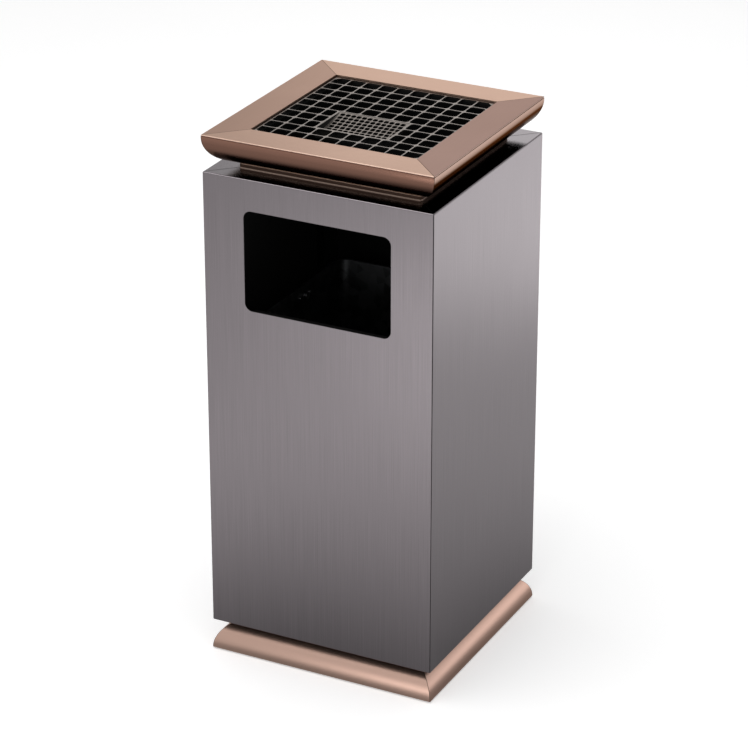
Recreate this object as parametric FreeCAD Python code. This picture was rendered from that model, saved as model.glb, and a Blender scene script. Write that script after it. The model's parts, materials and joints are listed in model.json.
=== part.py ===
import FreeCAD, Part
import math
import os
from FreeCAD import Placement, Rotation, Vector

# Floor-standing ash bin: a square sheet-steel column with a litter mouth, a mitred
# quarter-round base, and a lift-off head that holds the ash screen over an ash pan.
# All sizes are in millimetres. +Z is up and -Y is the front, with the mouth.
# The origin is on the floor, in the middle of the square footprint.

# Column
column_half = 135.0            # half the outside width of the square column
column_height = 535.0
sheet = 1.2
bend_radius = 1.5              # outside radius of a folded edge
top_return = 32.0              # folded inward round the top opening
bottom_return = 40.0
seam_setback = 0.55            # each panel stops this far short of the column's corner
seam_facet = 0.4               # dressed edge beside the seam
angle_leg = 18.0               # seam angles behind the four corners

# Litter mouth
mouth_width = 173.0
mouth_height = 114.0
mouth_below_top = 35.0
mouth_radius = 9.0
apron_width = 176.0
apron_end = 102.0              # how near the apron comes to the middle of the column

# Base
pad_thickness = 1.0
pad_radius = 11.0
base_round = 30.0              # radius of the base rails' quarter round
shadow_joint = 5.0             # black plinth plate between base and column
plinth_half = 108.0
floor_plate_half = 132.0
floor_plate = 1.5

# Rails of base and head share their width and wall
rail_half = 135.5
rail_width = 38.0
rail_wall = 2.0
key_thick = 12.0               # corner keys inside the rails
key_reach = 42.0

# Head
head_round = 31.0
head_lip = 3.0                 # upright lip above the quarter round
head_gap = 7.0                 # collar height that shows between column and head
arris = 0.4
groove_drop = 1.0              # fine groove that runs under the top edge
groove_size = 0.8
ledge_drop = 6.0
ledge_width = 5.0
ledge_height = 12.0
ledge_thick = 1.5

# Collar under the head
collar_half = 107.0
collar_step = 1.5
collar_band = 4.6              # height of the lower, wider band
collar_wall = 2.5
collar_corner = 4.0
collar_flange_half = 96.0
collar_flange = 1.5
tab_half = 102.3               # locating tabs, just inside the column's top opening
tab_length = 100.0
tab_depth = 16.0

# Ash pan
pan_half = 91.5
pan_floor_half = 88.0
pan_depth = 55.0
pan_rim_half = 96.5
pan_sheet = 1.0
pan_corner = 8.0

# Ash screen and stub tray
screen_half = 95.75
screen_recess = 2.2
screen_sheet = 1.2
screen_skirt = 2.8
cells = 10
pitch = 19.1
web = 1.4
cell_corner = 3.6
gusset = 6.4
tray_half = 43.0               # half the tray's width, to the middle of its side webs
tray_first_row = 2             # rows of coarse cells in front of the tray
tray_rows = 3
tray_fall = 10.0               # how far the tray drops from its rear to its front edge
tray_sheet = 1.0
fine_columns = 12
fine_rows = 8
fine_pitch = 6.5
fine_hole = 5.4
fine_corner = 2.0

# Liner bucket
liner_top = 400.0
liner_half_top = 88.0
liner_half_bottom = 80.0
liner_sheet = 1.0
liner_corner = 12.0
liner_hem = 3.0
liner_hem_height = 6.0

# Bail handle and its ears
bail_wire = 2.5                # wire radius
bail_leg = 95.0
bail_reach = 97.0
bail_corner = 14.0
bail_hook = 4.0
bail_end = 84.0
bail_button = 4.0
bail_drop = 12.0               # pivot below the liner's rim
bail_hang = 22.0               # degrees below level at which the bail hangs
ear_half_length = 17.0
ear_half_height = 9.0
ear_face = 90.0
ear_hole = 2.8
rivet_radius = 2.0
rivet_head = 3.5
rivet_offset = 11.0

# Screws
screw_offset = 60.0            # from the middle of each side
base_screw_line = 101.0
base_screw_radius = 2.0
base_screw_head = 4.0
base_screw_reach = 27.0
collar_screw_line = 101.5
collar_screw_radius = 1.75
collar_screw_head = 2.9
screw_clearance = 0.2

# Heights that follow
base_top = pad_thickness + base_round
column_bottom = base_top + shadow_joint
column_top = column_bottom + column_height
head_bottom = column_top + head_gap
head_top = head_bottom + head_round + head_lip
floor_level = column_bottom + sheet + floor_plate
ledge_level = head_top - ledge_drop
pan_bottom = ledge_level - pan_depth
screen_top = head_top - screen_recess
bail_pivot = liner_top - bail_drop

sides = {"front": 0.0, "right": 90.0, "rear": 180.0, "left": 270.0}


def save(name, shape):
    if not shape.isValid():
        raise ValueError(name + " is not a valid solid")
    shape.exportStep("parts/" + name + ".step")


def turned(shape, degrees):
    """A copy turned about the column's upright axis."""
    turn = Rotation(Vector(0, 0, 1), degrees)
    copy = shape.copy()
    copy.Placement = Placement(Vector(0, 0, 0), turn).multiply(copy.Placement)
    return copy


def block(low, high):
    size = high - low
    return Part.makeBox(size.x, size.y, size.z, low)


def square_prism(half, low, high, corner=0.0):
    prism = block(Vector(-half, -half, low), Vector(half, half, high))
    if corner > 0:
        upright = [e for e in prism.Edges if abs(e.tangentAt(e.FirstParameter).z) > 0.99]
        prism = prism.makeFillet(corner, upright)
    return prism


def square_ring(outer, inner, low, high, corner=0.0, inner_corner=0.0):
    hole = square_prism(inner, low - 1, high + 1, inner_corner)
    return square_prism(outer, low, high, corner).cut(hole)


def rod(radius, start, end):
    along = end - start
    return Part.makeCylinder(radius, along.Length, start, along)


def rectangle(x0, y0, x1, y1):
    corners = [Vector(x0, y0, 0), Vector(x1, y0, 0), Vector(x1, y1, 0), Vector(x0, y1, 0)]
    return Part.makePolygon(corners + corners[:1])


def rounded_rectangle(x0, y0, x1, y1, corner):
    """Closed wire in the XY plane, with four round corners."""
    centres = [(x1 - corner, y1 - corner, 0), (x0 + corner, y1 - corner, 90)]
    centres += [(x0 + corner, y0 + corner, 180), (x1 - corner, y0 + corner, 270)]
    up = Vector(0, 0, 1)
    arcs = [Part.makeCircle(corner, Vector(x, y, 0), up, a, a + 90) for x, y, a in centres]
    edges = []
    for arc, following in zip(arcs, arcs[1:] + arcs[:1]):
        edges.append(arc)
        start = arc.valueAt(arc.LastParameter)
        end = following.valueAt(following.FirstParameter)
        edges.append(Part.makeLine(start, end))
    return Part.Wire(edges)


def pierced(wires, thickness):
    """A plate from its outline and its holes, standing on the XY plane."""
    return Part.makeFace(wires, "Part::FaceMakerCheese").extrude(Vector(0, 0, thickness))


def section_face(outline, hole=None):
    """A face across one side, from (inset, height) points; longer points are reached by an arc."""
    wires = []
    for loop in [outline, hole] if hole else [outline]:
        edges = []
        here = Vector(-rail_half, loop[0][0], loop[0][1])
        for inset, height, *middle in loop[1:] + loop[:1]:
            there = Vector(-rail_half, inset, height)
            if middle:
                edges.append(Part.Arc(here, Vector(-rail_half, *middle), there).toShape())
            elif there != here:
                edges.append(Part.makeLine(here, there))
            here = there
        wires.append(Part.Wire(edges))
    return Part.makeFace(wires, "Part::FaceMakerCheese")


def arc_to(inset, height, centre_inset, centre_height, radius, degrees):
    """A section point reached by an arc whose middle lies at an angle from its centre."""
    angle = math.radians(degrees)
    middle_inset = centre_inset + radius * math.cos(angle)
    middle_height = centre_height + radius * math.sin(angle)
    return (inset, height, middle_inset, middle_height)


def mitred(face, half, setback=0.0, facet=0.0):
    """Runs a section along the front side and cuts both ends to 45 degrees."""
    run = face.extrude(Vector(2 * rail_half, 0, 0))
    run.translate(Vector(0, -half, 0))
    tip = half - setback
    outline = [Vector(-tip + facet, -half, 0), Vector(tip - facet, -half, 0)]
    if facet > 0:
        outline.append(Vector(tip - facet / 2, -half + facet / 2, 0))
    outline.append(Vector(0, -half + facet / 2 + tip - facet / 2, 0))
    if facet > 0:
        outline.append(Vector(-tip + facet / 2, -half + facet / 2, 0))
    wedge = Part.Face(Part.makePolygon(outline + outline[:1])).extrude(Vector(0, 0, 2 * head_top))
    return run.common(wedge)


def on_every_side(shape):
    return [turned(shape, degrees) for degrees in sides.values()]


# Base

def base_rail():
    floor = pad_thickness
    top = base_top
    round_in = base_round
    outline = [
        (0, floor),
        arc_to(round_in, top, round_in, floor, base_round, 135),
        (rail_width, top),
        (rail_width, floor),
    ]
    inner = base_round - rail_wall
    arc_start = round_in - math.sqrt(inner ** 2 - rail_wall ** 2)
    middle = (180 - math.degrees(math.asin(rail_wall / inner)) + 90) / 2
    hole = [
        (arc_start, floor + rail_wall),
        arc_to(round_in, top - rail_wall, round_in, floor, inner, middle),
        (rail_width - rail_wall, top - rail_wall),
        (rail_width - rail_wall, floor + rail_wall),
    ]
    return mitred(section_face(outline, hole), rail_half)


def corner_keys(low, high):
    """Four L-shaped keys against the rails' inner walls."""
    inner = rail_half - rail_width + rail_wall
    outer = inner + key_thick
    ring = square_ring(outer, inner, low, high)
    corner = block(Vector(outer - key_reach, outer - key_reach, low), Vector(outer, outer, high))
    return Part.Compound(on_every_side(ring.common(corner)))


def pan_head_screw(radius, head_radius, head_height, under_head, tip):
    """An upright screw with its head at one end; the tip may be above or below."""
    way = 1 if tip > under_head else -1
    shank = rod(radius, Vector(0, 0, under_head), Vector(0, 0, tip))
    head = rod(head_radius, Vector(0, 0, under_head - way * head_height), Vector(0, 0, under_head))
    far = [e for e in head.Edges if abs(e.CenterOfMass.z - under_head) > head_height - 0.01]
    rounded = head.makeFillet(head_height * 0.4, [e for e in far if e.Closed and len(e.Vertexes) == 1])
    slot_high = under_head - way * head_height * 0.6
    slot_far = under_head - way * head_height * 1.5
    slot_low, slot_top = sorted([slot_high, slot_far])
    for x, y in [(head_radius * 0.6, 0.4), (0.4, head_radius * 0.6)]:
        rounded = rounded.cut(block(Vector(-x, -y, slot_low), Vector(x, y, slot_top)))
    return shank.fuse(rounded).removeSplitter()


def along_sides(shape, line):
    """Copies of an upright fastener, two on each side of the square."""
    pair = []
    for offset in (-screw_offset, screw_offset):
        copy = shape.copy()
        copy.translate(Vector(offset, -line, 0))
        pair.append(copy)
    return [turned(copy, degrees) for copy in pair for degrees in sides.values()]


def screw_holes(radius, line, low, high):
    drill = rod(radius + screw_clearance, Vector(0, 0, low), Vector(0, 0, high))
    return along_sides(drill, line)


def base_parts():
    holes = screw_holes(base_screw_radius, base_screw_line, base_screw_reach - 1, floor_level + 1)
    rail = base_rail()
    for side, degrees in sides.items():
        save("base_rail_" + side, turned(rail, degrees).cut(holes))
    save("base_corner_keys", corner_keys(pad_thickness + 5, pad_thickness + 17))
    pad_line = rail_half - rail_width / 2
    pad = rod(pad_radius, Vector(pad_line, pad_line, 0), Vector(pad_line, pad_line, pad_thickness))
    save("foot_pads", Part.Compound(on_every_side(pad)))
    save("plinth_plate", square_prism(plinth_half, base_top, column_bottom).cut(holes))
    plate = square_prism(floor_plate_half, floor_level - floor_plate, floor_level)
    save("floor_plate", plate.cut(holes))
    screw = pan_head_screw(base_screw_radius, base_screw_head, 2.4, floor_level, base_screw_reach)
    save("base_screws", Part.Compound(along_sides(screw, base_screw_line)))


# Column

def column_panel():
    """One upright panel with its top and bottom edges folded inward."""
    r = bend_radius
    t = sheet
    low = column_bottom
    top = column_top
    outline = [
        (0, low + r),
        (0, top - r),
        arc_to(r, top, r, top - r, r, 135),
        (top_return, top),
        (top_return, top - t),
        (r, top - t),
        arc_to(t, top - r, r, top - r, r - t, 135),
        (t, low + r),
        arc_to(r, low + t, r, low + r, r - t, 225),
        (bottom_return, low + t),
        (bottom_return, low),
        (r, low),
        arc_to(0, low + r, r, low + r, r, 225),
    ]
    return mitred(section_face(outline), column_half, seam_setback, seam_facet)


def mouth_cutter():
    top = column_top - mouth_below_top
    wire = rounded_rectangle(-mouth_width / 2, top - mouth_height, mouth_width / 2, top, mouth_radius)
    cutter = pierced([wire], 20.0)
    cutter.rotate(Vector(0, 0, 0), Vector(1, 0, 0), 90)
    cutter.translate(Vector(0, -column_half + 10, 0))
    return cutter


def mouth_apron():
    """Sloping sheet under the mouth that carries litter towards the liner."""
    wall = column_half - sheet
    top = column_top - mouth_below_top - mouth_height - 1.0
    points = [
        (-wall, top),
        (-wall + 1.2, top),
        (-apron_end, top - 12.0),
        (-apron_end, top - 13.2),
        (-wall + 1.0, top - 1.4),
        (-wall + 1.0, top - 15.0),
        (-wall, top - 15.0),
    ]
    outline = [Vector(-apron_width / 2, y, z) for y, z in points]
    face = Part.Face(Part.makePolygon(outline + outline[:1]))
    return face.extrude(Vector(apron_width, 0, 0))


def seam_angles():
    """An upright angle behind each corner, which both panels are welded to."""
    outer = column_half - sheet
    ring = square_ring(outer, outer - sheet, floor_level, column_top - sheet)
    low = Vector(outer - angle_leg, outer - angle_leg, 0)
    corner = block(low, Vector(outer, outer, column_top - 2 * sheet))
    return Part.Compound(on_every_side(ring.common(corner)))


def column_parts():
    holes = screw_holes(base_screw_radius, base_screw_line, base_screw_reach, floor_level)
    panel = column_panel()
    for side, degrees in sides.items():
        placed = turned(panel, degrees).cut(holes)
        if side == "front":
            placed = placed.cut(mouth_cutter())
        save(side + "_panel", placed)
    save("seam_angles", seam_angles())
    save("mouth_apron", mouth_apron())


# Head

def head_rail():
    top = head_top
    r = head_round
    spring = top - head_lip
    low = head_bottom
    outline = [
        (arris, top),
        (rail_width, top),
        (rail_width, low),
        (r, low),
        arc_to(0, spring, r, spring, r, 225),
        (0, top - groove_drop - groove_size),
        (groove_size, top - groove_drop - groove_size),
        (groove_size, top - groove_drop),
        (0, top - groove_drop),
        (0, top - arris),
    ]
    inner = r - rail_wall
    hole = [
        (rail_wall, top - rail_wall),
        (rail_width - rail_wall, top - rail_wall),
        (rail_width - rail_wall, low + rail_wall),
        (r, low + rail_wall),
        arc_to(rail_wall, spring, r, spring, inner, 225),
    ]
    return mitred(section_face(outline, hole), rail_half)


def pan_ledges():
    """Four mitred angle strips inside the rails, which the ash pan's rim hangs on."""
    outline = [
        (rail_width, ledge_level),
        (rail_width + ledge_width, ledge_level),
        (rail_width + ledge_width, ledge_level - ledge_thick),
        (rail_width + ledge_thick, ledge_level - ledge_thick),
        (rail_width + ledge_thick, ledge_level - ledge_height),
        (rail_width, ledge_level - ledge_height),
    ]
    return Part.Compound(on_every_side(mitred(section_face(outline), rail_half)))


def neck_collar():
    """Stepped square collar with a top flange and four tabs that drop into the column."""
    step = column_top + collar_band
    inner = collar_half - collar_wall
    upper = collar_half - collar_step
    corner = collar_corner
    collar = square_ring(collar_half, inner, column_top, step, corner, corner - collar_wall)
    parts = [square_ring(upper, inner, step, head_bottom, corner - collar_step, corner - collar_wall)]
    parts.append(square_ring(upper, collar_flange_half, head_bottom - collar_flange, head_bottom,
                             corner - collar_step, 1.0))
    tab_low = Vector(-tab_length / 2, -tab_half, column_top - tab_depth)
    tab_high = Vector(tab_length / 2, -tab_half + collar_flange, head_bottom)
    parts += on_every_side(block(tab_low, tab_high))
    return collar.fuse(parts).removeSplitter()


def head_parts():
    holes = screw_holes(collar_screw_radius, collar_screw_line, column_top, head_bottom + 8)
    rail = head_rail()
    for side, degrees in sides.items():
        save("head_rail_" + side, turned(rail, degrees).cut(holes))
    save("head_corner_keys", corner_keys(head_bottom + 3, head_bottom + 15))
    save("pan_ledges", pan_ledges())
    save("neck_collar", neck_collar().cut(holes))
    under = head_bottom - collar_flange
    screw = pan_head_screw(collar_screw_radius, collar_screw_head, 2.0, under, head_bottom + 6)
    save("collar_screws", Part.Compound(along_sides(screw, collar_screw_line)))


# Ash pan, screen and tray

def tapered_box(half_low, half_high, low, high, corner):
    wires = []
    for half, level in ((half_low, low), (half_high, high)):
        wire = rounded_rectangle(-half, -half, half, half, corner)
        wire.translate(Vector(0, 0, level))
        wires.append(wire)
    return Part.makeLoft(wires, True, True)


def open_box(half_low, half_high, low, high, corner, thick):
    """Tapered square box, open at the top."""
    slope = (half_high - half_low) / (high - low)
    outside = tapered_box(half_low, half_high, low, high, corner)
    inside_low = half_low - thick + slope * thick
    inside_high = half_high - thick + slope
    inside = tapered_box(inside_low, inside_high, low + thick, high + 1, corner - thick)
    return outside.cut(inside)


def ash_pan():
    pan = open_box(pan_floor_half, pan_half, pan_bottom, ledge_level + pan_sheet, pan_corner, pan_sheet)
    rim_inner = pan_half - pan_sheet
    rim = square_ring(pan_rim_half, rim_inner, ledge_level, ledge_level + pan_sheet, 2.0, pan_corner)
    return pan.fuse(rim).removeSplitter()


def gusseted_cell(x0, y0, x1, y1):
    """A corner cell of the screen whose outermost corner is left solid."""
    points = []
    for x, y in [(x0, y0), (x1, y0), (x1, y1), (x0, y1)]:
        if abs(x) + abs(y) > 2 * (screen_half - web):
            ends = [(x, y - math.copysign(gusset, y)), (x - math.copysign(gusset, x), y)]
            points += ends if x * y > 0 else ends[::-1]
        else:
            points.append((x, y))
    outline = [Vector(x, y, 0) for x, y in points]
    return Part.makePolygon(outline + outline[:1])


def screen_cells():
    """Coarse holes, left out where the tray lies and narrower beside it."""
    half_grid = cells * pitch / 2
    tray_lines = range(tray_first_row, tray_first_row + tray_rows)
    wires = []
    for row in range(cells):
        y0 = -half_grid + row * pitch + web / 2
        y1 = y0 + pitch - web
        for column in range(cells):
            x0 = -half_grid + column * pitch + web / 2
            x1 = x0 + pitch - web
            if row in tray_lines:
                edge = tray_half + web / 2
                if x0 > -edge and x1 < edge:
                    continue
                if x0 < -edge < x1:
                    x1 = -edge
                if x0 < edge < x1:
                    x0 = edge
            at_corner = row in (0, cells - 1) and column in (0, cells - 1)
            if at_corner:
                wires.append(gusseted_cell(x0, y0, x1, y1))
            else:
                wires.append(rounded_rectangle(x0, y0, x1, y1, cell_corner))
    return wires


def tray_bounds():
    """The tray's opening in the screen: half width, front and rear."""
    front = -cells * pitch / 2 + tray_first_row * pitch + web / 2
    return tray_half - web / 2, front, front + tray_rows * pitch - web


def ash_screen():
    half, front, rear = tray_bounds()
    outer = rounded_rectangle(-screen_half, -screen_half, screen_half, screen_half, 1.5)
    opening = rectangle(-half, front, half, rear)
    plate = pierced([outer, opening] + screen_cells(), screen_sheet)
    plate.translate(Vector(0, 0, screen_top - screen_sheet))
    skirt = square_ring(screen_half, screen_half - 1.2, screen_top - screen_skirt, screen_top, 1.5, 0.3)
    return plate.fuse(skirt).removeSplitter()


def stub_tray():
    """Fine perforated plate sloping down to the front, between two upright cheeks."""
    half, front, rear = tray_bounds()
    length = rear - front
    slope = math.atan2(tray_fall, length)
    plate_length = (length - tray_sheet) / math.cos(slope)
    first_x = -(fine_columns - 1) * fine_pitch / 2
    first_y = -plate_length / 2 - (fine_rows - 1) * fine_pitch / 2
    holes = []
    for row in range(fine_rows):
        for column in range(fine_columns):
            x = first_x + column * fine_pitch
            y = first_y + row * fine_pitch
            size = fine_hole / 2
            holes.append(rounded_rectangle(x - size, y - size, x + size, y + size, fine_corner))
    outline = rounded_rectangle(-half + 0.4, -plate_length, half - 0.4, 0, 0.2)
    plate = pierced([outline] + holes, tray_sheet)
    plate.rotate(Vector(0, 0, 0), Vector(1, 0, 0), math.degrees(slope))
    plate.translate(Vector(0, rear, screen_top - 0.2 - tray_sheet))
    low = screen_top - tray_fall - 1.4
    points = [(rear, screen_top), (front, screen_top), (front, low), (front + 1.4, low)]
    points.append((rear, screen_top - 1.6))
    cheeks = []
    for x in (-half, half - tray_sheet):
        cheek = [Vector(x, y, z) for y, z in points]
        cheeks.append(Part.Face(Part.makePolygon(cheek + cheek[:1])).extrude(Vector(tray_sheet, 0, 0)))
    front_wall = block(Vector(-half, front, low), Vector(half, front + tray_sheet, screen_top))
    return plate.fuse(cheeks + [front_wall]).removeSplitter()


# Liner bucket with its bail

def liner_outside():
    return tapered_box(liner_half_bottom, liner_half_top, floor_level, liner_top, liner_corner)


def pivot_holes():
    """Through both ears and both walls: one pivot hole and two rivet holes each side."""
    reach = ear_face + 5
    holes = [rod(ear_hole, Vector(-reach, 0, bail_pivot), Vector(reach, 0, bail_pivot))]
    for y in (-rivet_offset, rivet_offset):
        holes.append(rod(rivet_radius, Vector(-reach, y, bail_pivot), Vector(reach, y, bail_pivot)))
    return holes


def liner_bucket():
    bucket = open_box(liner_half_bottom, liner_half_top, floor_level, liner_top, liner_corner, liner_sheet)
    hem_low = liner_top - liner_hem_height
    hem_half = liner_half_top + liner_hem
    hem = square_prism(hem_half, hem_low, liner_top, liner_corner + liner_hem)
    ends = [e for e in hem.Edges if abs(e.tangentAt(e.FirstParameter).z) < 0.01]
    hem = hem.makeFillet(1.2, ends)
    hem = hem.cut(square_prism(liner_half_top - liner_sheet, hem_low - 1, liner_top + 1, liner_corner))
    return bucket.fuse(hem).cut(pivot_holes()).removeSplitter()


def bail_ears():
    """Rounded plates on the two side walls, lying snugly on their slope."""
    low = bail_pivot - 2 * ear_half_height + 4
    high = bail_pivot + 5
    ears = []
    for way in (-1, 1):
        x0, x1 = sorted((way * 80.0, way * ear_face))
        ear = block(Vector(x0, -ear_half_length, low), Vector(x1, ear_half_length, high))
        along_x = [e for e in ear.Edges if abs(e.tangentAt(e.FirstParameter).x) > 0.99]
        ears.append(ear.makeFillet(5.0, along_x).cut(liner_outside()).cut(pivot_holes()))
    return Part.Compound(ears)


def ear_rivets():
    rivets = []
    inside = liner_half_top - liner_sheet - 1.0
    for way in (-1, 1):
        for y in (-rivet_offset, rivet_offset):
            inner = Vector(way * (inside - 0.9), y, bail_pivot)
            outer = Vector(way * (ear_face + 1.0), y, bail_pivot)
            face = Vector(way * ear_face, y, bail_pivot)
            rivet = rod(rivet_radius, inner, outer).fuse(rod(rivet_head, face, outer))
            rivets.append(rivet.removeSplitter())
    return Part.Compound(rivets)


def bail_handle():
    """Bent wire, drawn lying level towards the rear and then let down to where it hangs."""
    leg = bail_leg
    reach = bail_reach
    turn = bail_hook
    corner = bail_corner
    half_turn = math.sqrt(0.5)

    def at(x, y):
        return Vector(x, y, 0)

    edges = []
    for way in (1, -1):
        hook_middle = at(way * (leg - turn + turn * half_turn), turn - turn * half_turn)
        bend_middle = at(way * (leg - corner + corner * half_turn), reach - corner + corner * half_turn)
        side = [
            Part.makeLine(at(way * bail_end, 0), at(way * (leg - turn), 0)),
            Part.Arc(at(way * (leg - turn), 0), hook_middle, at(way * leg, turn)).toShape(),
            Part.makeLine(at(way * leg, turn), at(way * leg, reach - corner)),
            Part.Arc(at(way * leg, reach - corner), bend_middle, at(way * (leg - corner), reach)).toShape(),
        ]
        edges += side
    edges.append(Part.makeLine(at(leg - corner, reach), at(corner - leg, reach)))
    path = Part.Wire(Part.__sortEdges__(edges))
    section = Part.Wire(Part.makeCircle(bail_wire, at(bail_end, 0), Vector(1, 0, 0)))
    wire = path.makePipeShell([section], True, False)
    buttons = [rod(bail_button, at(way * (bail_end - 1.5), 0), at(way * bail_end, 0)) for way in (-1, 1)]
    handle = wire.fuse(buttons).removeSplitter()
    handle.rotate(Vector(0, 0, 0), Vector(1, 0, 0), -bail_hang)
    handle.translate(Vector(0, 0, bail_pivot))
    return handle


def inner_parts():
    save("ash_pan", ash_pan())
    save("ash_screen", ash_screen())
    save("stub_tray", stub_tray())
    save("liner_bucket", liner_bucket())
    save("bail_ears", bail_ears())
    save("ear_rivets", ear_rivets())
    save("bail_handle", bail_handle())


os.makedirs("parts", exist_ok=True)
base_parts()
column_parts()
head_parts()
inner_parts()
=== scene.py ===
import json
import math

import bpy
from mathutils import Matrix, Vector

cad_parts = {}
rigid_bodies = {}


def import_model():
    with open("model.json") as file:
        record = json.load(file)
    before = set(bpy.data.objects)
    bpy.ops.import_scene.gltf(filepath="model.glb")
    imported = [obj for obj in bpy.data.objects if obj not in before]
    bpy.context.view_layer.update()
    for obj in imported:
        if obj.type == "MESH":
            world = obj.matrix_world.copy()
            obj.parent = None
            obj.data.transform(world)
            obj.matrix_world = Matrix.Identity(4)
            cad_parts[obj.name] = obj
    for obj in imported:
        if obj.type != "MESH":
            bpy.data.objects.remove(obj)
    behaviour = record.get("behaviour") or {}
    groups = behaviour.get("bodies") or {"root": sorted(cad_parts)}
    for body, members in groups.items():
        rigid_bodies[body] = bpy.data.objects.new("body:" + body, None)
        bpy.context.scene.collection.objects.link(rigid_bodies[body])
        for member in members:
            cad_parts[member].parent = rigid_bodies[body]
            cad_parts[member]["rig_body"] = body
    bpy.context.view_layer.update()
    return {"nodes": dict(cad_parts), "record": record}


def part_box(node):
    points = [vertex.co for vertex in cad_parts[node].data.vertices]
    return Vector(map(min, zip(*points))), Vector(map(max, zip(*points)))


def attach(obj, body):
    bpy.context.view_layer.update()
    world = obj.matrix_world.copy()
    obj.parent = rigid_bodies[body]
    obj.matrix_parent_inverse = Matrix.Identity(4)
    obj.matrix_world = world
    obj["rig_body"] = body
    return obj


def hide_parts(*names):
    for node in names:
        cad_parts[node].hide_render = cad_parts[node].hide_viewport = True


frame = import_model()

nodes = frame["nodes"]
record = frame["record"]
print("frame loaded:", len(nodes), "nodes")

mm = 0.001
railSides = ["front", "right", "rear", "left"]
along = {"front": "x", "rear": "x", "left": "y", "right": "y"}   # which way each rail runs


class Wire:
    # an output socket that can be used in ordinary sums
    def __init__(self, look, socket):
        self.look = look
        self.socket = socket

    def sum(self, operation, first, second):
        return self.look.node("ShaderNodeMath", {"operation": operation}, [first, second])

    def __add__(self, other):
        return self.sum("ADD", self, other)

    def __radd__(self, other):
        return self.sum("ADD", other, self)

    def __sub__(self, other):
        return self.sum("SUBTRACT", self, other)

    def __rsub__(self, other):
        return self.sum("SUBTRACT", other, self)

    def __mul__(self, other):
        return self.sum("MULTIPLY", self, other)

    def __rmul__(self, other):
        return self.sum("MULTIPLY", other, self)

    def __gt__(self, other):
        return self.sum("GREATER_THAN", self, other)

    def __lt__(self, other):
        return self.sum("LESS_THAN", self, other)

    def __abs__(self):
        return self.sum("ABSOLUTE", self, 0.0)


class Shading:
    # a node tree, and one method that adds any node to it
    def __init__(self, tree):
        self.tree = tree

    def node(self, kind, settings=None, values=None, output=0):
        made = self.tree.nodes.new(kind)
        for key, value in (settings or {}).items():
            if key == "stops":
                self.fillRamp(made.color_ramp, value)
            else:
                setattr(made, key, value)
        pairs = values.items() if isinstance(values, dict) else enumerate(values or [])
        for socket, value in pairs:
            self.join(made.inputs[socket], value)
        return Wire(self, made.outputs[output])

    def fillRamp(self, ramp, stops):
        while len(ramp.elements) < len(stops):
            ramp.elements.new(0.5)
        for element, (place, colour) in zip(ramp.elements, stops):
            element.position = place
            element.color = (*colour, 1.0) if len(colour) == 3 else colour

    def join(self, socket, value):
        if isinstance(value, Wire):
            self.tree.links.new(value.socket, socket)
        elif socket.type == "RGBA" and len(value) == 3:
            socket.default_value = (*value, 1.0)
        else:
            socket.default_value = value

    def mix(self, share, first, second):
        values = {"Factor": share, 6: first, 7: second}
        return self.node("ShaderNodeMix", {"data_type": "RGBA"}, values, output=2)


class Look(Shading):
    # one material with a Principled shader
    def __init__(self, name, fixed):
        self.material = bpy.data.materials.new(name)
        self.material.use_nodes = True
        super().__init__(self.material.node_tree)
        self.shader = self.tree.nodes["Principled BSDF"]
        for socket, value in fixed.items():
            self.shader.inputs[socket].default_value = value

    def set(self, **values):
        for key, value in values.items():
            name = "Base Color" if key == "color" else key.capitalize()
            self.join(self.shader.inputs[name], value)

    def place(self):
        return self.node("ShaderNodeTexCoord", output="Object")

    def axes(self):
        return [self.node("ShaderNodeSeparateXYZ", values=[self.place()], output=name) for name in "XYZ"]

    def noise(self, scale, detail=2.0, rough=0.5, stretch=(1, 1, 1), shift=(0, 0, 0)):
        values = {"Vector": self.place(), "Scale": stretch, "Location": shift}
        spot = self.node("ShaderNodeMapping", values=values)
        values = {"Vector": spot, "Scale": scale, "Detail": detail, "Roughness": rough}
        return self.node("ShaderNodeTexNoise", values=values)

    def blend(self, share, first, second):
        return first + (second - first) * share

    def step(self, value, low, high):
        # 0 below low, 1 above high, straight between
        values = {"Value": value, "From Min": low, "From Max": high}
        return self.node("ShaderNodeMapRange", {"clamp": True}, values)

    def bump(self, height, strength, distance):
        values = {"Height": height, "Strength": strength, "Distance": distance}
        return self.node("ShaderNodeBump", values=values)


def greys(stops):
    return [(place, (grey, grey, grey)) for place, grey in stops]


def stretchAlong(axis, fine, slow):
    return tuple(slow if name == axis else fine for name in "xyz")


def larger(look, first, second):
    return look.node("ShaderNodeMath", {"operation": "MAXIMUM"}, [first, second])


columnSteel = {
    "light": (0.295, 0.266, 0.280),
    "dark": (0.215, 0.193, 0.204),
    "roughness": 0.38,
    "flangeRoughness": 0.11,
    "anisotropy": 0.5,      # the hairlines run upright
    "inside": (0.003, 0.003, 0.003),
    "insideRoughness": 0.8,
    "skin": 134.4,          # mm from the axis; what lies further in is painted black as painted shade
    "topSkin": 570.4,
    "mouthHalf": 86.7,      # the painted shade covers the cut edge round the mouth too
    "mouthFace": 134.9,
    "mouthLow": 421.8,
    "mouthHigh": 536.2,
}


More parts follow.
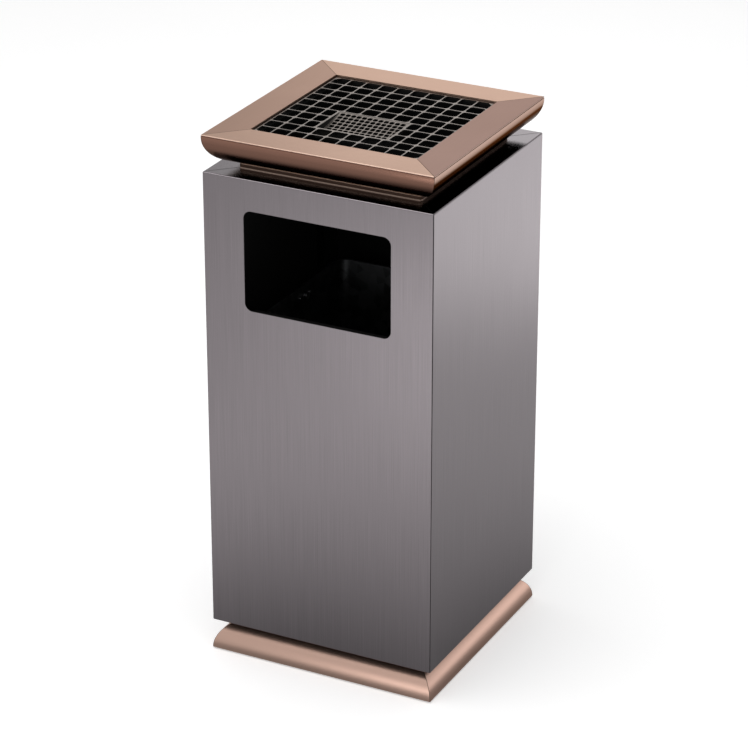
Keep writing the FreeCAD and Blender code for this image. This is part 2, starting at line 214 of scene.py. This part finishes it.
def makeColumnSteel():
    spec = columnSteel
    look = Look("columnSteel", {"Specular IOR Level": 0.5, "Anisotropic": spec["anisotropy"]})
    fine = look.noise(1.0, 3.0, 0.65, (2600, 2600, 9))
    middle = look.noise(1.0, 2.0, 0.5, (620, 620, 3.0), (3, 1, 2))
    broad = look.noise(7.0, 2.0, 0.5)
    tone = fine * 0.75 + middle * 0.15 + broad * 0.1
    steel = look.mix(look.step(tone, 0.3, 0.7), spec["dark"], spec["light"])
    x, y, z = look.axes()
    reach = larger(look, abs(x), abs(y))
    # painted shade: inside the skin and round the mouth the steel is painted near black and dull
    shadedInside = (reach < spec["skin"] * mm) * (z < spec["topSkin"] * mm)
    across = (abs(x) < spec["mouthHalf"] * mm) * (y < 0.0) * (y > -spec["mouthFace"] * mm)
    mouth = across * (z > spec["mouthLow"] * mm) * (z < spec["mouthHigh"] * mm)
    shadedInside = larger(look, shadedInside, mouth)
    look.set(color=look.mix(shadedInside, steel, spec["inside"]))
    flange = z > spec["topSkin"] * mm
    smoother = flange * (spec["roughness"] - spec["flangeRoughness"])
    brushed = spec["roughness"] + (middle - 0.5) * 0.06 - smoother
    look.set(roughness=look.blend(shadedInside, brushed, spec["insideRoughness"]))
    look.set(metallic=1.0 - shadedInside)
    look.set(normal=look.bump(fine * 0.8 + middle * 0.2, 0.16, 0.0003))
    return look.material


# painted shade: the quarter rounds darken downwards: height in mm, share of the colour left
evenPaintedShade = [(580, 0.02), (588, 0.10), (594, 0.24), (597, 0.38), (603, 0.50), (608, 0.80), (612, 1.0)]
sharpPaintedShade = [(580, 0.0), (590, 0.01), (596, 0.04), (601, 0.09), (604.5, 0.75), (608, 0.95), (612, 1.0)]

# one alloy and one finish: the four sides differ only to imitate the light that falls on each
roseAluminium = {
    "front": {
        "light": (0.61, 0.430, 0.345),
        "dark": (0.54, 0.375, 0.300),
        "curved": (0.36, 0.190, 0.140),
        "glancing": (0.84, 0.74, 0.68),
        "shadeByHeight": evenPaintedShade,
        "lip": 1.4,             # mm below the top where the quarter round's finish begins
    },
    "rear": {
        "light": (0.66, 0.465, 0.370),
        "dark": (0.59, 0.410, 0.325),
        "curved": (0.36, 0.190, 0.140),
        "glancing": (0.84, 0.74, 0.68),
        "shadeByHeight": evenPaintedShade,
        "lip": 1.4,
    },
    "right": {
        "light": (0.500, 0.362, 0.322),
        "dark": (0.438, 0.317, 0.282),
        "curved": (0.38, 0.285, 0.250),
        "glancing": (0.45, 0.37, 0.33),
        "shadeByHeight": sharpPaintedShade,
        "lip": 0.4,
    },
    "left": {
        "light": (0.50, 0.340, 0.275),
        "dark": (0.44, 0.298, 0.240),
        "curved": (0.30, 0.165, 0.125),
        "glancing": (0.84, 0.74, 0.68),
        "shadeByHeight": evenPaintedShade,
        "lip": 1.4,
    },
}

roseShared = {
    "base": (0.72, 0.475, 0.385),      # painted light: the base rails are made paler than the head rails of the same alloy
    "baseLightShare": 0.8,
    "roughness": 0.34,
    "curvedRoughness": 0.18,
    "edge": (0.06, 0.04, 0.03),        # a thin dark line along the mitre joints
}


def makeRoseAluminium(side):
    # brushed along its own rail; the quarter round is not brushed and looks deeper
    spec = roseAluminium[side]
    axis = along[side]
    look = Look("roseAluminium_" + side, {"Specular Tint": (*spec["glancing"], 1.0)})
    fine = look.noise(1.0, 3.0, 0.6, stretchAlong(axis, 3000, 16))
    middle = look.noise(1.0, 2.0, 0.5, stretchAlong(axis, 700, 7), (5, 2, 1))
    broad = look.noise(16.0, 2.0, 0.5)
    tone = fine * 0.5 + middle * 0.2 + broad * 0.3
    metal = look.mix(look.step(tone, 0.3, 0.7), spec["dark"], spec["light"])
    x, y, z = look.axes()
    headLow, headHigh = [corner.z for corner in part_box("head_rail_front")]
    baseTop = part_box("base_rail_front")[1].z
    outside = larger(look, abs(x), abs(y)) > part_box("ash_pan")[1].x + 2.0 * mm
    curved = (z < headHigh - spec["lip"] * mm) * (z > headLow - mm) * outside
    # painted shade: the quarter round's colour fades to black towards its foot
    low, high = spec["shadeByHeight"][0][0], spec["shadeByHeight"][-1][0]
    stops = greys([((height - low) / (high - low), left) for height, left in spec["shadeByHeight"]])
    depth = look.node("ShaderNodeValToRGB", {"stops": stops}, [look.step(z, low * mm, high * mm)])
    metal = look.mix(curved, metal, look.mix(depth, (0.0, 0.0, 0.0), spec["curved"]))
    # painted light: the base rails take the paler colour
    metal = look.mix((z < baseTop + mm) * roseShared["baseLightShare"], metal, roseShared["base"])
    seam = look.step(abs(abs(x) - abs(y)), 0.0002, 0.0006)
    look.set(color=look.mix(seam, roseShared["edge"], metal))
    smooth = roseShared["roughness"] + (middle - 0.5) * 0.10 + (fine - 0.5) * 0.05
    look.set(roughness=look.blend(curved, smooth, roseShared["curvedRoughness"]))
    look.set(metallic=1.0)
    look.set(normal=look.bump(fine * 0.75 + middle * 0.25, 0.12, 0.0003))
    return look.material


plainMetals = {
    # painted shade: the pan's steel is made near black, dull and not metallic, standing for the dark
    # under the screen
    "panShadeBlack": {
        "light": (0.0035, 0.0035, 0.0035),
        "dark": (0.0015, 0.0015, 0.0015),
        "roughness": 0.8,
        "grain": (60, 60, 60),
        "relief": 0.2,
        "metallic": 0.0,
        "gloss": 0.03,
    },
    # painted shade: the inner steel is made near black and not metallic, standing for the dark inside the
    # column
    "innerShadeBlack": {
        "light": (0.012, 0.012, 0.012),
        "dark": (0.006, 0.006, 0.006),
        "roughness": 0.6,
        "grain": (900, 900, 900),
        "relief": 0.2,
        "metallic": 0.0,
        "gloss": 0.15,
    },
    "blackPaint": {
        "light": (0.014, 0.013, 0.013),
        "dark": (0.007, 0.007, 0.007),
        "roughness": 0.55,
        "grain": (1200, 1200, 1200),
        "relief": 0.25,
        "metallic": 0.0,
        "gloss": 0.2,
    },
    "millAluminium": {
        "light": (0.62, 0.62, 0.63),
        "dark": (0.48, 0.48, 0.49),
        "roughness": 0.38,
        "grain": (80, 80, 1500),
        "relief": 0.15,
        "metallic": 1.0,
        "gloss": 0.5,
    },
    "zincPlate": {
        "light": (0.62, 0.62, 0.64),
        "dark": (0.45, 0.45, 0.47),
        "roughness": 0.26,
        "grain": (1500, 1500, 1500),
        "relief": 0.08,
        "metallic": 1.0,
        "gloss": 0.5,
    },
    "bailWire": {
        "light": (0.55, 0.55, 0.56),
        "dark": (0.40, 0.40, 0.41),
        "roughness": 0.3,
        "grain": (900, 900, 900),
        "relief": 0.1,
        "metallic": 1.0,
        "gloss": 0.5,
    },
}


def makePlainMetal(name):
    spec = plainMetals[name]
    look = Look(name, {"Specular IOR Level": spec["gloss"]})
    fine = look.noise(1.0, 3.0, 0.6, spec["grain"])
    broad = look.noise(24.0, 3.0, 0.55)
    tone = fine * 0.5 + broad * 0.5
    look.set(color=look.mix(look.step(tone, 0.3, 0.7), spec["dark"], spec["light"]))
    look.set(roughness=spec["roughness"] + (broad - 0.5) * 0.2)
    look.set(metallic=spec["metallic"])
    look.set(normal=look.bump(fine, spec["relief"], 0.0003))
    return look.material


collarSteel = {
    # painted shade: the collar's rose steel is made dark brown, standing for the shade under the head
    "face": (0.16, 0.100, 0.072),
    "shade": (0.095, 0.060, 0.044),
    "line": (0.80, 0.62, 0.50),        # painted highlights: thin bright lines
    "highlightHeights": (571.35, 575.75),   # mm: along the foot and the step of the collar
    "highlightHalf": 0.45,
    "roughness": 0.36,
}


def makeCollarSteel():
    spec = collarSteel
    look = Look("collarSteel", {"Specular IOR Level": 0.5})
    fine = look.noise(1.0, 3.0, 0.6, (40, 40, 2400))
    broad = look.noise(24.0, 3.0, 0.55)
    metal = look.mix(look.step(fine * 0.5 + broad * 0.5, 0.3, 0.7), spec["shade"], spec["face"])
    z = look.axes()[2]
    # painted highlights along the foot and the step of the collar
    highlights = 0.0
    for height in spec["highlightHeights"]:
        highlights = (abs(z - height * mm) < spec["highlightHalf"] * mm) + highlights
    look.set(color=look.mix(highlights, metal, spec["line"]))
    look.set(roughness=spec["roughness"] + (broad - 0.5) * 0.2)
    look.set(metallic=1.0)
    look.set(normal=look.bump(fine, 0.15, 0.0003))
    return look.material


screenSteel = {
    "light": (0.36, 0.320, 0.290),
    "dark": (0.24, 0.212, 0.190),
    "soot": (0.008, 0.0075, 0.007),     # painted shade on every upright wall of the holes
    "roughness": 0.40,
}


def makeScreenSteel():
    spec = screenSteel
    look = Look("screenSteel", {"Specular IOR Level": 0.3})
    fine = look.noise(450.0, 3.0, 0.6)
    broad = look.noise(30.0, 2.0, 0.5, shift=(2, 4, 1))
    steel = look.mix(look.step(fine * 0.5 + broad * 0.5, 0.3, 0.7), spec["dark"], spec["light"])
    facing = look.node("ShaderNodeTexCoord", output="Normal")
    upwards = look.node("ShaderNodeSeparateXYZ", values=[facing], output="Z")
    # painted shade: walls facing sideways or down turn near black and dull
    soot = 1.0 - look.step(upwards, 0.3, 0.75)
    look.set(color=look.mix(soot, steel, spec["soot"]))
    look.set(roughness=spec["roughness"] + (fine - 0.5) * 0.15 + soot * 0.3)
    look.set(metallic=1.0 - soot * 0.7)
    look.set(normal=look.bump(fine, 0.15, 0.0002))
    return look.material


# painted shade: the zinc coat is made far darker than bare zinc, standing for the dark inside the column
galvanised = {
    "light": (0.10, 0.103, 0.107),
    "dark": (0.050, 0.052, 0.055),
    "flowers": 90.0,          # about as many crystals to the metre
    "roughness": 0.34,
    "metallic": 0.9,
}


def makeGalvanised():
    spec = galvanised
    look = Look("shadeDarkGalvanised", {"Specular IOR Level": 0.5})
    values = {"Vector": look.place(), "Scale": spec["flowers"]}
    spangle = look.node("ShaderNodeTexVoronoi", {"feature": "F1"}, values, output="Color")
    spread = look.node("ShaderNodeSeparateColor", values=[spangle])
    broad = look.noise(14.0, 3.0, 0.55)
    tone = spread * 0.6 + broad * 0.4
    look.set(color=look.mix(look.step(tone, 0.2, 0.8), spec["dark"], spec["light"]))
    look.set(roughness=spread * 0.18 + spec["roughness"])
    look.set(metallic=spec["metallic"])
    look.set(normal=look.bump(tone, 0.05, 0.0004))
    return look.material


padRubber = {
    "light": (0.030, 0.030, 0.030),
    "dark": (0.010, 0.010, 0.010),
    "roughness": 0.62,
}


def makeRubber():
    spec = padRubber
    look = Look("padRubber", {"Specular IOR Level": 0.35})
    grit = look.noise(900.0, 3.0, 0.6)
    look.set(color=look.mix(grit, spec["dark"], spec["light"]))
    look.set(roughness=grit * 0.2 + spec["roughness"])
    look.set(normal=look.bump(grit, 0.3, 0.0003))
    return look.material


finishes = {
    "column_steel": makeColumnSteel(),
    "rose_front": makeRoseAluminium("front"),
    "rose_right": makeRoseAluminium("right"),
    "rose_rear": makeRoseAluminium("rear"),
    "rose_left": makeRoseAluminium("left"),
    "rose_steel": makeCollarSteel(),
    "screen_steel": makeScreenSteel(),
    "pan_steel": makePlainMetal("panShadeBlack"),
    "inner_steel": makePlainMetal("innerShadeBlack"),
    "black_paint": makePlainMetal("blackPaint"),
    "key_metal": makePlainMetal("millAluminium"),
    "screw_steel": makePlainMetal("zincPlate"),
    "galvanised_sheet": makeGalvanised(),
    "bail_wire": makePlainMetal("bailWire"),
    "pad_rubber": makeRubber(),
}
slotOf = {s["node"]: s["material_slot"] for s in record["subparts"]}


def finishFor(node):
    slot = slotOf[node]
    if slot == "rose_aluminium":
        return finishes["rose_" + node.rsplit("_", 1)[1]]
    return finishes[slot]


print("materials made:", len(finishes))


def nothingSelected():
    if bpy.context.mode != "OBJECT":
        bpy.ops.object.mode_set(mode="OBJECT")
    bpy.ops.object.select_all(action="DESELECT")


def only(piece):
    nothingSelected()
    piece.select_set(True)
    bpy.context.view_layer.objects.active = piece


def dress(piece, finish):
    piece.data.materials.clear()
    piece.data.materials.append(finish)


def bevelled(node, width, segments=2, turn=28.0, merged=True):
    # a clean copy of a CAD piece whose sharp edges are eased as on the real sheet or extrusion
    source = nodes[node]
    piece = source.copy()
    piece.data = source.data.copy()
    for key in list(piece.keys()):
        del piece[key]
    piece.parent = None
    words = node.split("_")
    piece.name = words[0] + "".join(word.capitalize() for word in words[1:])
    bpy.context.scene.collection.objects.link(piece)
    only(piece)
    bpy.ops.object.mode_set(mode="EDIT")
    bpy.ops.mesh.select_all(action="SELECT")
    bpy.ops.mesh.customdata_custom_splitnormals_clear()
    bpy.ops.mesh.remove_doubles(threshold=0.004 * mm)
    if merged:
        bpy.ops.mesh.dissolve_limited(angle_limit=math.radians(0.4))
    bpy.ops.object.mode_set(mode="OBJECT")
    bevel = piece.modifiers.new("easedEdges", "BEVEL")
    bevel.width = width * mm
    bevel.segments = segments
    bevel.limit_method = "ANGLE"
    bevel.angle_limit = math.radians(turn)
    bevel.use_clamp_overlap = True
    bevel.miter_outer = "MITER_ARC"
    bpy.ops.object.modifier_apply(modifier="easedEdges")
    bpy.ops.object.shade_smooth_by_angle(angle=math.radians(35))
    flat = piece.modifiers.new("flatNormals", "WEIGHTED_NORMAL")
    flat.weight = 100
    flat.keep_sharp = True
    bpy.ops.object.modifier_apply(modifier="flatNormals")
    dress(piece, finishFor(node))
    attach(piece, source["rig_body"])
    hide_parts(node)
    return piece


easedEdges = {"column": 0.25, "rail": 0.3, "sheet": 0.2, "screen": 0.2}

for side in railSides:
    bevelled("head_rail_" + side, easedEdges["rail"])
    bevelled("base_rail_" + side, easedEdges["rail"])
    bevelled(side + "_panel", easedEdges["column"])
bevelled("neck_collar", easedEdges["sheet"])
bevelled("ash_screen", easedEdges["screen"], 1, merged=False)
bevelled("stub_tray", easedEdges["screen"], 1, merged=False)
print("edges eased")


def pick(piece, kind, test):
    # selects only the corners, edges or faces that pass the test, ready for the next operator
    bpy.ops.object.mode_set(mode="EDIT")
    bpy.ops.mesh.select_all(action="DESELECT")
    bpy.ops.mesh.select_mode(type=kind)
    bpy.ops.object.mode_set(mode="OBJECT")
    mesh = piece.data
    if kind == "VERT":
        for corner in mesh.vertices:
            corner.select = test([corner.co], corner.normal)
    elif kind == "EDGE":
        for edge in mesh.edges:
            edge.select = test([mesh.vertices[i].co for i in edge.vertices], None)
    else:
        for face in mesh.polygons:
            face.select = test([mesh.vertices[i].co for i in face.vertices], face.normal)
    bpy.ops.object.mode_set(mode="EDIT")


def level(points, height):
    return all(abs(point.z - height) < 0.01 * mm for point in points)


def openTub(name, low, high, foot, top, corner, floorRound):
    # a tapered square tub without a lid, outside faces only
    nothingSelected()
    bpy.ops.mesh.primitive_cube_add(size=1.0, location=(0, 0, (low + high) / 2))
    tub = bpy.context.object
    tub.name = name
    tub.scale = (2 * foot, 2 * foot, high - low)
    bpy.ops.object.transform_apply(location=True, rotation=True, scale=True)
    pick(tub, "FACE", lambda points, normal: normal.z > 0.9)
    bpy.ops.transform.resize(value=(top / foot, top / foot, 1.0), center_override=(0, 0, 0))
    bpy.ops.mesh.delete(type="ONLY_FACE")
    pick(tub, "EDGE", lambda ends, normal: abs(ends[0].z - ends[1].z) > (high - low) / 2)
    bpy.ops.mesh.bevel(offset=corner, segments=6, affect="EDGES")
    pick(tub, "EDGE", lambda ends, normal: level(ends, low))
    bpy.ops.mesh.bevel(offset=floorRound, segments=3, affect="EDGES")
    return tub


def swage(tub, height, rise, width, half):
    # one rib pressed outwards round the wall
    for step in (-0.5, -0.2, 0.2, 0.5):
        bpy.ops.mesh.select_all(action="SELECT")
        bpy.ops.mesh.bisect(plane_co=(0, 0, height + step * width), plane_no=(0, 0, 1))
    swell = 1.0 + rise / half
    pick(tub, "VERT", lambda points, normal: abs(points[0].z - height) < 0.3 * width)
    bpy.ops.transform.resize(value=(swell, swell, 1.0), center_override=(0, 0, 0))


def turnRim(tub, start, path):
    # draws the open edge on through (half width, height) pairs
    half, height = start
    pick(tub, "EDGE", lambda ends, normal: level(ends, height))
    for nextHalf, nextHeight in path:
        rise = (0, 0, nextHeight - height)
        bpy.ops.mesh.extrude_edges_move(TRANSFORM_OT_translate={"value": rise})
        swell = nextHalf / half
        bpy.ops.transform.resize(value=(swell, swell, 1.0), center_override=(0, 0, 0))
        half, height = nextHalf, nextHeight


def finishSheet(piece, node, wall):
    only(piece)
    sheet = piece.modifiers.new("sheet", "SOLIDIFY")
    sheet.thickness = wall
    sheet.offset = -1.0
    sheet.use_even_offset = True
    bpy.ops.object.modifier_apply(modifier="sheet")
    bpy.ops.object.shade_smooth_by_angle(angle=math.radians(40))
    dress(piece, finishFor(node))
    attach(piece, nodes[node]["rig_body"])
    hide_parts(node)


linerTub = {
    "foot": 80.0,            # all in mm
    "hemReach": 3.0,
    "corner": 12.0,
    "floorRound": 3.0,
    "wall": 1.0,
    "ribs": [72.0, 152.0, 232.0, 312.0],     # all clear of where the bail rests
    "ribRise": 1.6,
    "ribWidth": 12.0,
    "hemRound": 0.8,
    "hemDepth": 5.0,
    "pivotDrop": 12.0,
    "pivotRadius": 2.8,
}


def makeLiner():
    spec = {key: value * mm if not isinstance(value, list) else value for key, value in linerTub.items()}
    low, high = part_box("liner_bucket")
    wall, bend = spec["wall"], spec["hemRound"]
    top = high.x - spec["hemReach"]
    edge = high.z - wall - bend - 0.1 * mm
    tub = openTub("linerTub", low.z, edge, spec["foot"], top, spec["corner"], spec["floorRound"])
    for height in spec["ribs"]:
        half = spec["foot"] + (top - spec["foot"]) * (height * mm - low.z) / (edge - low.z)
        swage(tub, height * mm, spec["ribRise"], spec["ribWidth"], half)
    outside = high.x - wall
    centre = (top + outside) / 2
    reach = centre - top
    # over the top in four short steps, then straight down outside
    bow = 0.7
    path = [(centre - bow * reach, edge + bow * bend), (centre, edge + bend)]
    path += [(centre + bow * reach, edge + bow * bend), (outside, edge)]
    path += [(outside, edge - spec["hemDepth"] + bend)]
    turnRim(tub, (top, edge), path)
    finishSheet(tub, "liner_bucket", wall)
    nothingSelected()
    bpy.ops.mesh.primitive_cylinder_add(
        vertices=24, radius=spec["pivotRadius"], depth=2.4 * high.x,
        location=(0, 0, high.z - spec["pivotDrop"]), rotation=(0, math.radians(90), 0))
    drill = bpy.context.object
    only(tub)
    holes = tub.modifiers.new("pivotHoles", "BOOLEAN")
    holes.operation = "DIFFERENCE"
    holes.object = drill
    bpy.ops.object.modifier_apply(modifier="pivotHoles")
    bpy.data.objects.remove(drill)


panTub = {
    "foot": 88.0,            # all in mm
    "top": 91.5,
    "corner": 8.0,
    "floorRound": 4.0,
    "wall": 1.0,
    "rimRound": 0.8,         # small enough to clear the inner edge of the ledges
    "border": 14.0,          # plain margin round the raised panel in the floor
    "panelRise": 1.6,
    "panelSlope": 4.0,
}


def makePan():
    spec = {key: value * mm for key, value in panTub.items()}
    low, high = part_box("ash_pan")
    bend = spec["rimRound"]
    ledge = high.z - spec["wall"]
    edge = ledge - bend
    tub = openTub("panTub", low.z, edge, spec["foot"], spec["top"], spec["corner"], spec["floorRound"])
    path = [(spec["top"] + 0.3 * bend, ledge - 0.3 * bend), (spec["top"] + bend, ledge), (high.x, ledge)]
    turnRim(tub, (spec["top"], edge), path)
    pick(tub, "FACE", lambda points, normal: normal.z < -0.99 and level(points, low.z))
    outer = spec["foot"] - spec["floorRound"]
    for border, rise in [(spec["border"], 0.0), (spec["panelSlope"], spec["panelRise"])]:
        bpy.ops.mesh.extrude_region_move(TRANSFORM_OT_translate={"value": (0, 0, rise)})
        shrink = 1.0 - border / outer
        bpy.ops.transform.resize(value=(shrink, shrink, 1.0), center_override=(0, 0, 0))
        outer -= border
    finishSheet(tub, "ash_pan", spec["wall"])


makeLiner()
makePan()
print("liner and pan pressed")

for name, node in nodes.items():
    dress(node, finishFor(name))
print("CAD pieces dressed")


floorSheet = {
    "half": 16.0,
    "light": (0.90, 0.90, 0.90),
    "dark": (0.86, 0.86, 0.86),
    "glow": 0.34,
    "drop": 0.0008,             # just under the pads
}

tableCard = {
    # what the brushed metal mirrors of the table: distance from the bin as a share of half, brightness
    "half": 2.4,
    "drop": 0.0004,
    "front": [
        (0.0, 0.18), (0.07, 0.23), (0.15, 0.50), (0.24, 0.94), (0.33, 0.88), (0.55, 0.70), (1.0, 0.62),
    ],
    "rear": [
        (0.0, 0.20), (0.07, 0.26), (0.15, 0.52), (0.24, 0.72), (0.33, 0.70), (0.55, 1.04), (1.0, 0.85),
    ],
}

studio = {
    "strength": 1.0,
    "sky": [(0.0, 0.55), (0.30, 0.62), (0.55, 0.62), (1.0, 0.55)],      # from level to straight up
}

lamps = {
    # place, what it faces, size across and up, watts, colour
    "topBox": ((-0.2, -0.6, 2.3), (0.0, 0.0, 0.3), (1.8, 1.8), 20.0, (1.0, 1.0, 1.0)),
    "leftBox": ((-0.04, -0.82, 0.15), (0.10, -0.13, 0.27), (0.35, 0.28), 0.46, (1.0, 1.0, 1.0)),
    "rightBox": ((0.60, 0.92, 0.16), (0.13, 0.0, 0.5), (0.9, 0.40), 0.95, (1.0, 1.0, 1.0)),
    "backBox": ((-0.48, 1.85, 1.45), (0.0, 0.0, 0.6), (1.2, 1.1), 2.3, (1.0, 1.0, 1.0)),
}

cameraView = {
    "azimuth": 26.89,
    "elevation": 24.60,
    "distance": 3.431,
    "target": (-0.0015, 0.0, 0.3101),
    "lens": 150.1,
    "sensor": 36.0,
}


def aim(thing, target):
    way = Vector(target) - thing.location
    thing.rotation_euler = way.to_track_quat("-Z", "Y").to_euler()


def makeFloor():
    nothingSelected()
    spec = floorSheet
    bpy.ops.mesh.primitive_plane_add(size=2 * spec["half"], location=(0, 0, -spec["drop"]))
    floor = bpy.context.object
    floor.name = "floor"
    look = Look("floorPaint", {"Specular IOR Level": 0.2, "Emission Strength": spec["glow"]})
    soft = look.noise(1.2, 2.0, 0.5)
    look.set(color=look.mix(soft, spec["dark"], spec["light"]))
    look.set(roughness=soft * 0.1 + 0.6)
    look.join(look.shader.inputs["Emission Color"], (1.0, 1.0, 1.0))
    dress(floor, look.material)
    floor.visible_glossy = False       # the metal mirrors the table card instead


def makeTableCard():
    # dim close to the bin, bright further off; only mirrored rays see it
    nothingSelected()
    spec = tableCard
    bpy.ops.mesh.primitive_plane_add(size=2 * spec["half"], location=(0, 0, -spec["drop"]))
    card = bpy.context.object
    card.name = "tableCard"
    material = bpy.data.materials.new("tableGlow")
    material.use_nodes = True
    material.node_tree.nodes.clear()
    look = Shading(material.node_tree)
    place = look.node("ShaderNodeTexCoord", output="Object")
    away = look.node("ShaderNodeVectorMath", {"operation": "LENGTH"}, [place], output="Value")
    share = away * (1.0 / spec["half"])
    front = look.node("ShaderNodeValToRGB", {"stops": greys(spec["front"])}, [share])
    rear = look.node("ShaderNodeValToRGB", {"stops": greys(spec["rear"])}, [share])
    behind = look.node("ShaderNodeSeparateXYZ", values=[place], output="Y") > 0.0
    glow = look.mix(behind, front, rear)
    shine = look.node("ShaderNodeEmission", values={"Color": glow})
    look.join(look.tree.nodes.new("ShaderNodeOutputMaterial").inputs["Surface"], shine)
    dress(card, material)
    for ray in ["camera", "diffuse", "shadow", "transmission"]:
        setattr(card, "visible_" + ray, False)


def makeLamp(name, place, target, size, watts, colour):
    light = bpy.data.lights.new(name, "AREA")
    light.shape = "RECTANGLE"
    light.size, light.size_y = size
    light.energy = watts
    light.color = colour
    lamp = bpy.data.objects.new(name, light)
    lamp.location = place
    lamp.visible_camera = False
    bpy.context.scene.collection.objects.link(lamp)
    aim(lamp, target)


def makeWorld():
    world = bpy.data.worlds.new("studio")
    world.use_nodes = True
    room = Shading(world.node_tree)
    way = room.node("ShaderNodeTexCoord", output="Generated")
    height = room.node("ShaderNodeSeparateXYZ", values=[way], output="Z")
    glow = room.node("ShaderNodeValToRGB", {"stops": greys(studio["sky"])}, [height])
    background = world.node_tree.nodes["Background"]
    room.join(background.inputs["Color"], glow)
    background.inputs["Strength"].default_value = studio["strength"]
    bpy.context.scene.world = world


def makeCamera():
    spec = cameraView
    turn, rise = math.radians(spec["azimuth"]), math.radians(spec["elevation"])
    back = Vector((math.sin(turn) * math.cos(rise), -math.cos(turn) * math.cos(rise), math.sin(rise)))
    lens = bpy.data.cameras.new("camera")
    lens.lens = spec["lens"]
    lens.sensor_width = spec["sensor"]
    camera = bpy.data.objects.new("camera", lens)
    camera.location = Vector(spec["target"]) + back * spec["distance"]
    bpy.context.scene.collection.objects.link(camera)
    aim(camera, spec["target"])
    bpy.context.scene.camera = camera


makeFloor()
makeTableCard()
for name, settings in lamps.items():
    makeLamp(name, *settings)
makeWorld()
makeCamera()
bpy.context.scene.view_settings.view_transform = "Standard"
print("stage ready")

nothingSelected()
